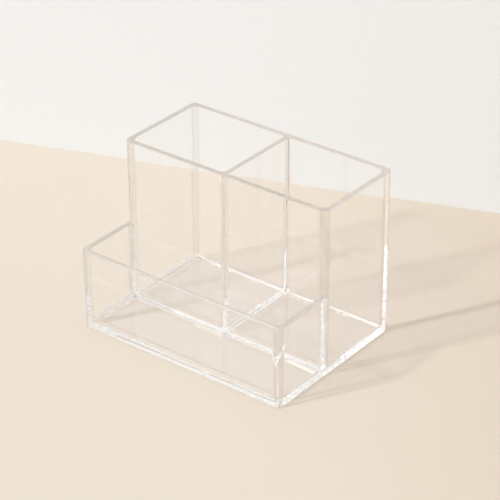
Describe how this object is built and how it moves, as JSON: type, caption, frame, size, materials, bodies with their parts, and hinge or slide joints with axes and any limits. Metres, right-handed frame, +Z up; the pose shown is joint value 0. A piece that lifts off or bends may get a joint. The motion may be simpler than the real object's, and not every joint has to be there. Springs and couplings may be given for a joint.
{
  "type": "pen holder",
  "caption": "Clear free-standing pen holder with tall divided cells behind a low open tray, rounded upright corners and a coved floor.",
  "frame": {"origin": "middle of the footprint, on the underside that it stands on", "axes": "+X to the right along the width, +Y towards the back with the tray at -Y, +Z up"},
  "size_m": [0.1366, 0.0996, 0.1],
  "materials": {
    "clear_acrylic": "clear, colourless, polished on faces and edges"
  },
  "bodies": {
    "root": {"base_plate": "clear_acrylic", "left_shell": "clear_acrylic", "right_shell": "clear_acrylic", "divider": "clear_acrylic", "tray_wrap": "clear_acrylic"}
  },
  "joints": []
}
